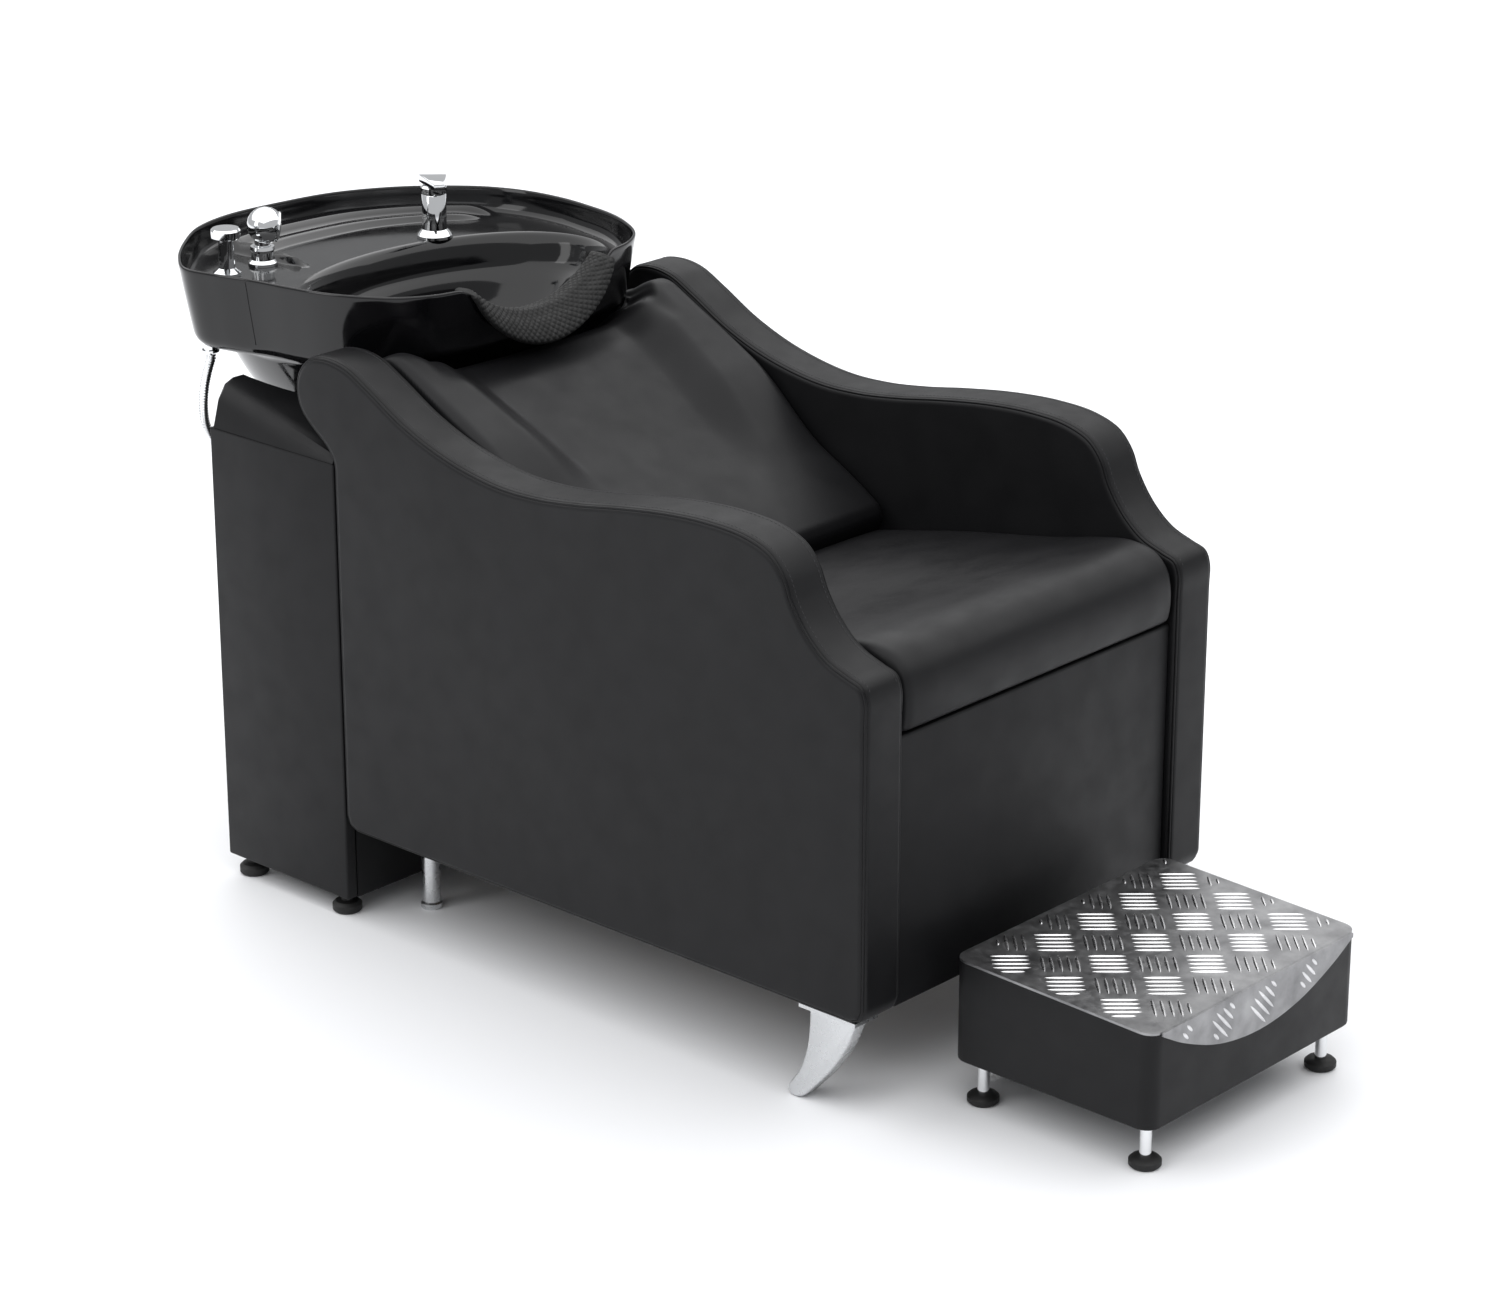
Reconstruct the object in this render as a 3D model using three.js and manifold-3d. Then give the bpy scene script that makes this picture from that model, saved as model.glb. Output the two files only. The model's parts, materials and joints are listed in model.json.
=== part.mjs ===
// Shampoo backwash unit: upholstered chair, plumbing cabinet, tilting basin and free-standing footrest.
// Millimetres, +Z up. The sitter faces -Y, so the sitter's right side is at -X.
import * as THREE from "three";
import { mergeVertices } from "three/addons/utils/BufferGeometryUtils.js";
import { RoundedBoxGeometry } from "three/addons/geometries/RoundedBoxGeometry.js";
import Module from "manifold-3d";

const wasm = await Module();
wasm.setup();

// ---- driving dimensions ----
const GAP = 0.3; // clearance left between pieces that touch
const HALF_WIDTH = 335; // half of the overall width over the arms
const ARM_THICK = 70;
const ARM_REAR = 907; // rear edge of the arm panels
const BAY = HALF_WIDTH - ARM_THICK; // half of the clear width between the arms
const CUSHION_HALF = BAY - 3;
const FOOT_FRONT = -337; // front lip of the footrest
const BASIN_REAR = 1383; // rear of the basin rim
const RIM_Z = 840;
const DECK_Z = 806;
const SHELL_Z = 645; // lowest edge of the basin's housing
const CABINET_FRONT = 909.5;
const CABINET_REAR = 1150;
const CABINET_HALF = 333;
const CABINET_LOW = 28;
const CABINET_HIGH = 640;
const PANEL = 18;
const FOOT_HALF = 207;
const FOOT_REAR = -32;
const FOOT_LOW = 60;
const TREAD = 3;
const MID_Y = (FOOT_FRONT + BASIN_REAR) / 2; // moved to y = 0 at the end

// ---- finishes ----
const finish = (color, metalness, roughness) =>
  new THREE.MeshStandardMaterial({ color, metalness, roughness });
const UPHOLSTERY = ["upholstery", 0x26272a, 0, 0.55];
const LAMINATE = ["laminate", 0x2b2c30, 0, 0.5];
const BOWL_BLACK = ["bowl_black", 0x08080a, 0, 0.12];
const RUBBER = ["rubber_black", 0x151517, 0, 0.8];
const CHROME = ["chrome", 0xe4e6e8, 1, 0.08];
const SATIN = ["satin_chrome", 0xb9bbbe, 1, 0.3];
const TREADPLATE = ["tread_aluminium", 0xc4c6c9, 1, 0.35];
const FRAME_STEEL = ["frame_steel", 0x3a3c3f, 0.6, 0.5];
const BOARD = ["plywood", 0xc49a6a, 0, 0.7];
const PLASTIC = ["plastic_black", 0x141416, 0, 0.5];
const PIPE = ["waste_plastic", 0xb8babd, 0, 0.5];

// ---- solids ----
const V = (x, y, z) => new THREE.Vector3(x, y, z);

// A closed three.js geometry as a manifold-3d solid that faces outwards.
function toSolid(geometry) {
  const loose = geometry.index ? geometry.toNonIndexed() : geometry;
  const bare = new THREE.BufferGeometry().setAttribute("position", loose.getAttribute("position"));
  const merged = mergeVertices(bare, 1e-3);
  const triVerts = new Uint32Array(merged.index.array);
  const vertProperties = merged.attributes.position.array;
  const made = new wasm.Manifold(new wasm.Mesh({ numProp: 3, vertProperties, triVerts }));
  if (made.volume() >= 0) return made;
  for (let i = 0; i < triVerts.length; i += 3) {
    [triVerts[i + 1], triVerts[i + 2]] = [triVerts[i + 2], triVerts[i + 1]];
  }
  return new wasm.Manifold(new wasm.Mesh({ numProp: 3, vertProperties, triVerts }));
}

function toGeometry(solid) {
  const mesh = solid.getMesh();
  const indexed = new THREE.BufferGeometry();
  indexed.setAttribute("position", new THREE.BufferAttribute(mesh.vertProperties, 3));
  indexed.setIndex(new THREE.BufferAttribute(mesh.triVerts, 1));
  const geometry = indexed.toNonIndexed();
  geometry.computeVertexNormals();
  return geometry;
}

const join = (first, ...others) => others.reduce((a, b) => a.add(b), first);
const cut = (first, ...others) => others.reduce((a, b) => a.subtract(b), first);

function box([x0, x1], [y0, y1], [z0, z1]) {
  const geometry = new THREE.BoxGeometry(x1 - x0, y1 - y0, z1 - z0);
  return toSolid(geometry.translate((x0 + x1) / 2, (y0 + y1) / 2, (z0 + z1) / 2));
}

function roundedBox([x0, x1], [y0, y1], [z0, z1], radius) {
  const geometry = new RoundedBoxGeometry(x1 - x0, y1 - y0, z1 - z0, 2, radius);
  return toSolid(geometry.translate((x0 + x1) / 2, (y0 + y1) / 2, (z0 + z1) / 2));
}

// A round bar from a to b.
function rod(a, b, radius, sides = 28, endRadius = radius) {
  const along = b.clone().sub(a);
  const geometry = new THREE.CylinderGeometry(endRadius, radius, along.length(), sides);
  const turn = new THREE.Quaternion().setFromUnitVectors(V(0, 1, 0), along.clone().normalize());
  geometry.applyQuaternion(turn);
  const middle = a.clone().add(b).multiplyScalar(0.5);
  return toSolid(geometry.translate(middle.x, middle.y, middle.z));
}

// A turned piece about a vertical axis through x, y: its profile is [radius, height] pairs.
function turned(profile, x, y, sides = 32) {
  const points = profile.map(([r, z]) => new THREE.Vector2(r, z));
  const geometry = new THREE.LatheGeometry(points, sides).rotateX(Math.PI / 2);
  return toSolid(geometry.translate(x, y, 0));
}

function extrude(points, depth, bevel, basis, offset) {
  const shape = new THREE.Shape(points.map(([u, v]) => new THREE.Vector2(u, v)));
  const geometry = new THREE.ExtrudeGeometry(shape, {
    depth: depth - 2 * bevel,
    steps: 1,
    bevelEnabled: bevel > 0,
    bevelThickness: bevel,
    bevelSize: bevel,
    bevelOffset: -bevel,
    bevelSegments: 3,
  });
  geometry.applyMatrix4(new THREE.Matrix4().makeBasis(...basis));
  return toSolid(geometry.translate(offset.x, offset.y, offset.z));
}

// An outline in (y, z) carried from x0 to x1.
function sideways(points, x0, x1, bevel = 0) {
  const basis = [V(0, 1, 0), V(0, 0, 1), V(1, 0, 0)];
  return extrude(points, x1 - x0, bevel, basis, V(x0 + bevel, 0, 0));
}

// An outline in (x, y) carried from z0 to z1.
function upwards(points, z0, z1, bevel = 0) {
  const basis = [V(1, 0, 0), V(0, 1, 0), V(0, 0, 1)];
  return extrude(points, z1 - z0, bevel, basis, V(0, 0, z0 + bevel));
}

// An outline in (x, z) carried from y0 to y1.
function lengthways(points, y0, y1, bevel = 0) {
  const basis = [V(1, 0, 0), V(0, 0, 1), V(0, -1, 0)];
  return extrude(points, y1 - y0, bevel, basis, V(0, y1 - bevel, 0));
}

// A smooth open run through points, as [u, v] pairs.
function smooth(points, count) {
  const curve = new THREE.CatmullRomCurve3(points.map(([u, v]) => V(u, v, 0)), false, "centripetal");
  return curve.getPoints(count).map((p) => [p.x, p.y]);
}

// A skin over closed rings of equal point counts, with flat fans as ends.
function loft(rings) {
  const positions = [];
  const face = (...corners) => corners.forEach((p) => positions.push(p.x, p.y, p.z));
  const count = rings[0].length;
  const centre = (ring) => ring.reduce((sum, p) => sum.add(p), V(0, 0, 0)).divideScalar(count);
  const low = centre(rings[0]);
  const high = centre(rings[rings.length - 1]);
  for (let i = 0; i < count; i++) {
    const next = (i + 1) % count;
    face(low, rings[0][next], rings[0][i]);
    for (let k = 0; k + 1 < rings.length; k++) {
      const [a, b] = [rings[k], rings[k + 1]];
      face(a[i], a[next], b[i]);
      face(a[next], b[next], b[i]);
    }
    const top = rings[rings.length - 1];
    face(high, top[i], top[next]);
  }
  const attribute = new THREE.Float32BufferAttribute(positions, 3);
  return toSolid(new THREE.BufferGeometry().setAttribute("position", attribute));
}

function ellipseRing(x, y, z, a, b, count) {
  const ring = [];
  for (let i = 0; i < count; i++) {
    const turn = (2 * Math.PI * i) / count;
    ring.push(V(x + a * Math.cos(turn), y + b * Math.sin(turn), z));
  }
  return ring;
}

const unit = new THREE.Group();
unit.position.y = -MID_Y;

function add(name, solid, [slot, color, metalness, roughness]) {
  const mesh = new THREE.Mesh(toGeometry(solid), finish(color, metalness, roughness));
  mesh.name = name;
  mesh.material.name = slot;
  unit.add(mesh);
}

// The same piece on both sides; the maker is given -1 for the sitter's right and +1 for the left.
function pair(name, make, look) {
  add(name + "_right", make(-1), look);
  add(name + "_left", make(1), look);
}
const across = (side, inner, outer) => (side < 0 ? [-outer, -inner] : [inner, outer]);

// ---- chair ----
const ARM_LOW = 133;
const ARM_TOP = [
  [0, 520], [0, 548], [8, 566], [30, 574], [62, 586], [93, 612], [116, 645], [128, 672],
  [150, 696], [190, 710], [250, 714], [320, 710], [400, 699], [470, 687], [540, 679], [612, 679],
  [700, 695], [775, 722], [840, 757], [880, 776], [920, 781], [950, 774], [970, 752], [975, 728],
  [968, 702], [947, 681], [921, 661], [908.5, 643], [ARM_REAR, 612],
];
function armPanel(side) {
  const foot = [
    [ARM_REAR, ARM_LOW + 20], [ARM_REAR - 6, ARM_LOW + 6], [ARM_REAR - 20, ARM_LOW],
    [20, ARM_LOW], [6, ARM_LOW + 6], [0, ARM_LOW + 20],
  ];
  return sideways([...smooth(ARM_TOP, 84), ...foot], ...across(side, BAY, HALF_WIDTH), 10);
}

const SEAT_SLOPE = 56 / 472; // fall of the seat board towards the rear
const seatUnder = (y) => 486 - (y - 8) * SEAT_SLOPE;
const BOARD_THICK = 15;
const BACK_FOOT = [476, 529]; // front lower edge of the back cushion
const BACK_HEAD = [862, 742]; // where its face meets the basin
const BACK_THICK = 72;
const backRun = new THREE.Vector2(BACK_HEAD[0] - BACK_FOOT[0], BACK_HEAD[1] - BACK_FOOT[1]).normalize();
// A point on the back cushion's side view: along its face from the foot, and in behind the face.
const backPoint = (along, behind) => [
  BACK_FOOT[0] + backRun.x * along + backRun.y * behind,
  BACK_FOOT[1] + backRun.y * along - backRun.x * behind,
];

function seatCushion() {
  const top = smooth(
    [[3, 505], [2, 535], [10, 560], [30, 578], [60, 585], [110, 582], [200, 566], [300, 546],
      [400, 524], [482, 507]],
    32,
  );
  const under = [[506, 460], [506, seatUnder(506)], [14, seatUnder(14)], [5, 492]];
  return sideways([...top, ...under], -CUSHION_HALF, CUSHION_HALF, 9);
}

function seatBoard() {
  const low = (y) => seatUnder(y) - GAP - BOARD_THICK;
  const high = (y) => seatUnder(y) - GAP;
  const outline = [[32, low(32)], [500, low(500)], [500, high(500)], [32, high(32)]];
  return sideways(outline, -CUSHION_HALF, CUSHION_HALF);
}

// Face, rounded head and back of the cushion's side view; lift raises the face.
function backOutline(lift, reach) {
  const head = smooth(
    [backPoint(410, -lift), backPoint(441 + reach * 0.5, -lift * 0.7), backPoint(456 + reach, 12),
      backPoint(462 + reach, 34), backPoint(455 + reach, BACK_THICK - 8)],
    12,
  );
  return [backPoint(8, -lift * 0.2), backPoint(90, -lift), ...head, backPoint(445 + reach, BACK_THICK),
    backPoint(10, BACK_THICK), backPoint(0, BACK_THICK - 10), backPoint(0, 8)];
}

const BOLSTER = 56;
function backCushion() {
  const middle = sideways(backOutline(0, 0), -CUSHION_HALF + 20, CUSHION_HALF - 20, 0);
  const bolster = (side) =>
    sideways(backOutline(12, 16), ...across(side, CUSHION_HALF - BOLSTER, CUSHION_HALF), 9);
  const room = loft([ring(0.86, 695), ring(0.95, 726), ring(1.03, 737), ring(1.03, RIM_Z + 60)]);
  return cut(join(middle, bolster(-1), bolster(1)), room);
}

function backBoard() {
  const near = BACK_THICK + GAP;
  const outline = [backPoint(6, near), backPoint(6, near + BOARD_THICK),
    backPoint(436, near + BOARD_THICK), backPoint(436, near)];
  return sideways(outline, -CUSHION_HALF, CUSHION_HALF);
}

const RAIL_HIGH = [150, 190];
const RAIL_IN = 30;
// Side rail of the base frame with its upright under the seat board.
function sideRail(side) {
  const width = across(side, BAY - RAIL_IN, BAY - GAP);
  const rail = box(width, [60, 880], RAIL_HIGH);
  const under = (y) => seatUnder(y) - BOARD_THICK - 2 * GAP;
  const post = [[430, RAIL_HIGH[1] - 5], [470, RAIL_HIGH[1] - 5], [470, under(470)], [430, under(430)]];
  return join(rail, sideways(post, ...width));
}
const crossRail = (y) => box([-BAY + RAIL_IN + GAP, BAY - RAIL_IN - GAP], [y, y + 40], RAIL_HIGH);
// Rear rail with the two blocks that bolt to the cabinet.
function rearRail() {
  const link = (side) => box(across(side, 150, 200), [879, CABINET_FRONT - GAP], RAIL_HIGH);
  return join(crossRail(840), link(-1), link(1));
}

const LEG_X = 310;
const legPlate = (side) => box(across(side, LEG_X - 22, LEG_X + 20), [16, 106], [128, ARM_LOW - GAP]);
function sabreLeg(side) {
  const front = smooth([[22, 128 - GAP], [37, 92], [64, 50], [88, 23], [102, 8]], 12);
  const tip = smooth([[108, 3], [117, 0], [127, 1], [132, 6]], 5);
  const rear = smooth([[130, 14], [112, 40], [101, 72], [97, 102], [96, 128 - GAP]], 10);
  return sideways([...front, ...tip, ...rear], ...across(side, LEG_X - 13, LEG_X + 13), 5);
}
const REAR_LEG = [227, 860];
const rearLeg = (side) =>
  turned([[0, 0], [14, 0], [15, 2], [15, 8], [12.5, 10], [12.5, RAIL_HIGH[0] - GAP], [0, RAIL_HIGH[0] - GAP]],
    side * REAR_LEG[0], REAR_LEG[1]);

function buildChair() {
  pair("arm_panel", armPanel, UPHOLSTERY);
  add("seat_cushion", seatCushion(), UPHOLSTERY);
  add("seat_board", seatBoard(), BOARD);
  add("back_cushion", backCushion(), UPHOLSTERY);
  add("back_board", backBoard(), BOARD);
  add("front_apron", roundedBox([-BAY + 1, BAY - 1], [11, 29], [ARM_LOW, 483], 4), UPHOLSTERY);
  pair("side_rail", sideRail, FRAME_STEEL);
  add("front_cross_rail", crossRail(60), FRAME_STEEL);
  add("rear_cross_rail", rearRail(), FRAME_STEEL);
  pair("leg_plate", legPlate, SATIN);
  pair("sabre_leg", sabreLeg, SATIN);
  pair("rear_leg", rearLeg, SATIN);
}

// ---- cabinet ----
const INSIDE = CABINET_HALF - PANEL - GAP;
const SCOOP = { y: 1205, r: 284 }; // round opening of the cover, in which the basin hangs
const WASTE = { y: 1035, r: 20 };

function cabinetCover() {
  const corner = (x, y, z) => V(x, y, z);
  const rung = (inset, frontZ, rearZ) => {
    const [x, y0, y1] = [CABINET_HALF - inset, CABINET_FRONT + inset * 0.3, CABINET_REAR - inset * 0.25];
    const level = (y) => frontZ + ((rearZ - frontZ) * (y - y0)) / (y1 - y0);
    const points = [[-x, y0], [-x / 3, y0], [x / 3, y0], [x, y0], [x, (y0 + y1) / 2], [x, y1 - 8], [x - 8, y1],
      [x / 3, y1], [-x / 3, y1], [-x + 8, y1], [-x, y1 - 8], [-x, (y0 + y1) / 2]];
    return points.map(([px, py]) => corner(px, py, level(py)));
  };
  const body = loft([rung(0, CABINET_HIGH + GAP, CABINET_HIGH + GAP), rung(2, 644, 648), rung(8, 649, 675),
    rung(18, 651, 694), rung(30, 652, 701)]);
  const scoop = rod(V(0, SCOOP.y, 600), V(0, SCOOP.y, 760), SCOOP.r, 72);
  const room = loft([ring(0.87, 600), ring(0.87, 760)]);
  const beyondStrip = box([-400, 400], [CABINET_FRONT + 12, 1500], [500, 800]);
  const arm = (side) => armPanel(side).translate([0, 2.5, -2]);
  return cut(body, scoop, room.intersect(beyondStrip), arm(-1), arm(1));
}

const BEAM = { y0: 1090, y1: 1130, z0: 520, z1: 560 };
const PIVOT = { y: 1110, z: 598, r: 8 };
const UPRIGHT = [112, 124];
const LUG = [99, 111.5];
const upright = (side) =>
  cut(box(across(side, ...UPRIGHT), [BEAM.y0, BEAM.y1], [BEAM.z1 + GAP, PIVOT.z + 20]),
    rod(V(-200, PIVOT.y, PIVOT.z), V(200, PIVOT.y, PIVOT.z), PIVOT.r + 0.08, 32));

function wastePipe() {
  const profile = [[14, 34], [WASTE.r, 34], [WASTE.r, 500], [46, 545], [46, 575], [42, 575], [42, 548],
    [16, 502], [14, 495], [14, 34]];
  return turned(profile, 0, WASTE.y, 32);
}

const footPad = (x, y) =>
  turned([[0, 0], [17, 0], [20, 3], [20, 11], [16, 15], [8, 16], [8, CABINET_LOW - GAP], [0, CABINET_LOW - GAP]], x, y);

function buildCabinet() {
  const sidePanel = (side) =>
    roundedBox(across(side, CABINET_HALF - PANEL, CABINET_HALF), [CABINET_FRONT, CABINET_REAR],
      [CABINET_LOW, CABINET_HIGH], 3);
  pair("cabinet_side", sidePanel, LAMINATE);
  const front = box([-INSIDE, INSIDE], [CABINET_FRONT, CABINET_FRONT + 12], [CABINET_LOW, CABINET_HIGH]);
  add("cabinet_front", front, LAMINATE);
  const basePlate = box([-INSIDE, INSIDE], [CABINET_FRONT + 12 + GAP, CABINET_REAR - 12 - GAP],
    [CABINET_LOW, CABINET_LOW + PANEL]);
  add("cabinet_base", cut(basePlate, rod(V(0, WASTE.y, 0), V(0, WASTE.y, 90), WASTE.r + 4)), LAMINATE);
  const access = box([-INSIDE, INSIDE], [CABINET_REAR - 12, CABINET_REAR], [CABINET_LOW, 615]);
  add("rear_access_panel", access, LAMINATE);
  add("cabinet_cover", cabinetCover(), LAMINATE);
  add("basin_beam", box([-INSIDE, INSIDE], [BEAM.y0, BEAM.y1], [BEAM.z0, BEAM.z1]), FRAME_STEEL);
  pair("pivot_upright", upright, FRAME_STEEL);
  add("tilt_pin", rod(V(-132, PIVOT.y, PIVOT.z), V(132, PIVOT.y, PIVOT.z), PIVOT.r, 32), SATIN);
  add("waste_pipe", wastePipe(), PIPE);
  for (const [side, x] of [["right", -311], ["left", 311]]) {
    add("cabinet_foot_front_" + side, footPad(x, 936), PLASTIC);
    add("cabinet_foot_rear_" + side, footPad(x, 1124), PLASTIC);
  }
}

// ---- basin ----
const RIM = [
  [0, 860], [60, 860], [125, 861], [180, 872], [222, 900], [252, 943], [272, 990], [283, 1045],
  [289, 1105], [283, 1172], [262, 1228], [224, 1278], [170, 1326], [92, 1365], [0, 1380],
  [-90, 1382], [-160, 1362], [-222, 1318], [-280, 1262], [-312, 1212], [-307, 1165],
  [-292, 1105], [-283, 1045], [-272, 990], [-252, 943], [-222, 900], [-180, 872], [-125, 861], [-60, 860],
];
const BASIN_MID = V(0, 1120, 0);
const RING_POINTS = 72;
const rimCurve = new THREE.CatmullRomCurve3(RIM.map(([x, y]) => V(x, y, 0)), true, "centripetal");
const rimPoints = rimCurve.getPoints(RING_POINTS).slice(0, RING_POINTS);
// The bowl below the rim has the same outline without the lobe, point for point.
const BODY = [...RIM];
const BODY_CORNER = [[-90, 1368], [-145, 1341], [-195, 1305], [-238, 1262], [-268, 1215], [-284, 1165], [-289, 1105]];
BODY.splice(15, BODY_CORNER.length, ...BODY_CORNER);
const bodyCurve = new THREE.CatmullRomCurve3(BODY.map(([x, y]) => V(x, y, 0)), true, "centripetal");
const bodyPoints = bodyCurve.getPoints(RING_POINTS).slice(0, RING_POINTS);
// An outline shrunk about the basin's middle, moved back by shift, at height z.
const body = (scale, z, shift = 0) => ring(scale, z, shift, bodyPoints);
function ring(scale, z, shift = 0, outline = rimPoints) {
  return outline.map((p) => {
    const q = p.clone().sub(BASIN_MID).multiplyScalar(scale).add(BASIN_MID);
    return V(q.x, q.y + shift, z);
  });
}

const NOTCH = { z: 964, r: 176, half: 44 }; // the neck notch is round about a line along Y
const DRAIN = { y: WASTE.y, z: 668, r: 21 };

// The washing hollow, grown outwards by wall for its outer skin.
function hollow(wall, topZ) {
  const level = [
    [topZ, 1022, 236, 142], [774, 1022, 232, 137], [763, 1027, 226, 130], [756, 1037, 214, 112],
    [716, 1037, 186, 100], [684, 1036, 150, 82], [DRAIN.z, 1035, 110, 58],
  ];
  const rings = level.map(([z, y, a, b], i) =>
    ellipseRing(0, y, i ? z - wall : z, a + wall, b + wall, RING_POINTS));
  return loft(rings.reverse());
}

function basinBowl() {
  const outside = loft([
    body(0.70, SHELL_Z, 14), body(0.76, SHELL_Z + 15, 10), body(0.83, SHELL_Z + 45, 4), body(0.905, 727),
    ring(0.92, 731), ring(0.935, 737), ring(0.952, 746), ring(0.968, 765), ring(0.985, 800),
    ring(0.996, 828), ring(1.0, 836), ring(0.994, RIM_Z),
  ]);
  const inside = loft([body(0.66, SHELL_Z - 4, 14), body(0.79, SHELL_Z + 45, 4), body(0.865, 736),
    ring(0.90, 741), ring(0.925, 760), ring(0.94, DECK_Z - 9)]);
  const deck = loft([ring(0.925, DECK_Z), ring(0.945, DECK_Z + 3), ring(0.958, DECK_Z + 12), ring(0.966, RIM_Z + 5)]);
  const notch = rod(V(0, 820, NOTCH.z), V(0, 892, NOTCH.z), NOTCH.r + 8, 72);
  const frontWall = lengthways([[-175, 752], [175, 752], [175, 812], [-175, 812]], 863, 889);
  const skin = join(cut(outside, cut(inside, hollow(9, DECK_Z - 9))), cut(frontWall, hollow(0, RIM_Z + 8)));
  const overCushion = box([-400, 400], [700, 912], [600, 751]);
  const hoseHole = rod(V(HOSE_TOP[0], HOSE_TOP[1], 700), V(HOSE_TOP[0], HOSE_TOP[1], 762), 9.5, 24);
  const drain = rod(V(0, DRAIN.y, 630), V(0, DRAIN.y, 690), DRAIN.r + 1);
  const taps = TAP_HOLES.map(([x, y, r]) => rod(V(x, y, 780), V(x, y, 820), r, 24));
  return cut(skin, deck, hollow(0, RIM_Z + 8), notch, overCushion, hoseHole, drain, ...taps);
}

// Rubber saddle over the front wall: each section is drawn in (y, distance from the notch's line).
function neckRest() {
  const rings = [];
  const STEPS = 28;
  for (let i = 0; i <= STEPS; i++) {
    const share = (2 * i) / STEPS - 1;
    const turn = (share * NOTCH.half * Math.PI) / 180;
    const swell = 1 - share * share;
    const section = [
      [891, NOTCH.r + 4.5], [888, NOTCH.r + 2], [878, NOTCH.r + 0.5],
      [866, NOTCH.r], [858, NOTCH.r + 3 + 4 * swell], [850 - 5 * swell, NOTCH.r + 5 + 16 * swell],
      [848 - 11 * swell, NOTCH.r + 8 + 30 * swell], [850 - 10 * swell, NOTCH.r + 10 + 33 * swell],
      [853, NOTCH.r + 11 + 28 * swell], [858, NOTCH.r + 10 + 16 * swell], [859.3, NOTCH.r + 7.4],
      [891, NOTCH.r + 7.4],
    ];
    rings.push(section.map(([y, r]) => V(r * Math.sin(turn), y, NOTCH.z - r * Math.cos(turn))));
  }
  return loft(rings);
}

const HOSE_TOP = [-277, 1207, 718]; // where the shower hose leaves its collar
const MIXER = [110, 1178];
const VALVE = [-214, 1240];
const SHOWER = [-147, 1244];
const TAP_HOLES = [[...MIXER, 14.5], [...VALVE, 9.5], [...SHOWER, 14.5]];

function drainFlange() {
  const top = DRAIN.z + GAP;
  return turned([[15, 612], [DRAIN.r, 612], [DRAIN.r, top], [34, top], [34, top + 1.5], [31, top + 3],
    [22, top + 3], [15, top - 2], [15, 612]], 0, DRAIN.y);
}

function strainer() {
  const low = DRAIN.z + GAP + 3 + GAP;
  return turned([[0, low], [26, low], [27, low + 2], [25, low + 10], [17, low + 17], [7, low + 20],
    [5, low + 25], [9, low + 29], [10, low + 33], [6, low + 37], [0, low + 38]], 0, DRAIN.y);
}

// Hanger under the basin: a plate against its floor and two lugs on the tilt pin.
function basinHanger() {
  const plate = box([-LUG[1], LUG[1]], [1004, 1066], [649, 658]);
  const hole = rod(V(0, DRAIN.y, 630), V(0, DRAIN.y, 680), DRAIN.r + 3);
  const lug = (side) =>
    sideways([[1004, 658], [1004, 640], [PIVOT.y - 16, PIVOT.z - 10], [PIVOT.y, PIVOT.z - 15],
      [PIVOT.y + 15, PIVOT.z - 6], [PIVOT.y + 15, PIVOT.z + 8], [1066, 658]], ...across(side, ...LUG));
  const bore = rod(V(-200, PIVOT.y, PIVOT.z), V(200, PIVOT.y, PIVOT.z), PIVOT.r + 0.08, 32);
  return cut(join(cut(plate, hole), lug(-1), lug(1)), bore);
}

function buildBasin() {
  add("basin_bowl", basinBowl(), BOWL_BLACK);
  add("neck_rest", neckRest(), RUBBER);
  add("drain_flange", drainFlange(), CHROME);
  add("drain_strainer", strainer(), CHROME);
  add("basin_hanger", basinHanger(), FRAME_STEEL);
}

// ---- taps, shower and hose ----
const LEVER_TURN = THREE.MathUtils.degToRad(-137.6); // the lever points to the sitter's front right
const CAP_Z = [868, 880];

function mixerBody() {
  const z = DECK_Z + GAP;
  return turned([[0, 772], [14, 772], [14, z], [25, z], [25, z + 4], [22, z + 8], [17.5, z + 12], [17, z + 20],
    [17, CAP_Z[0] - 2], [16, CAP_Z[0] - GAP], [0, CAP_Z[0] - GAP]], ...MIXER, 36);
}

function mixerCap() {
  return turned([[0, CAP_Z[0]], [17, CAP_Z[0]], [18, CAP_Z[0] + 2], [18, CAP_Z[1] - 3], [15, CAP_Z[1]],
    [0, CAP_Z[1]]], ...MIXER, 36);
}

function mixerLever() {
  const low = CAP_Z[1] + GAP;
  const plate = upwards([[-14, -21], [43, 4], [40, 18], [-15, 17]], low, low + 11, 1.5);
  const geometry = toGeometry(plate).rotateZ(LEVER_TURN);
  return toSolid(geometry.translate(MIXER[0], MIXER[1], 0));
}

const VALVE_STEM = 50;
function valveStem() {
  const z = DECK_Z + GAP;
  return turned([[0, 780], [9, 780], [9, z], [19, z], [19, z + 4], [15, z + 7], [11, z + 10], [10, z + VALVE_STEM],
    [0, z + VALVE_STEM]], ...VALVE);
}
function valveKnob() {
  const z = DECK_Z + VALVE_STEM + 2 * GAP;
  return turned([[0, z], [18, z], [20, z + 2], [20, z + 11], [18, z + 14], [0, z + 14.5]], ...VALVE, 36);
}

const SOCKET_R = 11;
function showerHolder() {
  const z = DECK_Z + GAP;
  return turned([[SOCKET_R, 780], [14, 780], [14, z], [20, z], [20, z + 4], [16, z + 8], [15, z + 18],
    [17, z + 22], [16, z + 26], [SOCKET_R + 1, z + 26], [SOCKET_R, z + 24], [SOCKET_R, 780]], ...SHOWER, 36);
}

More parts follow.
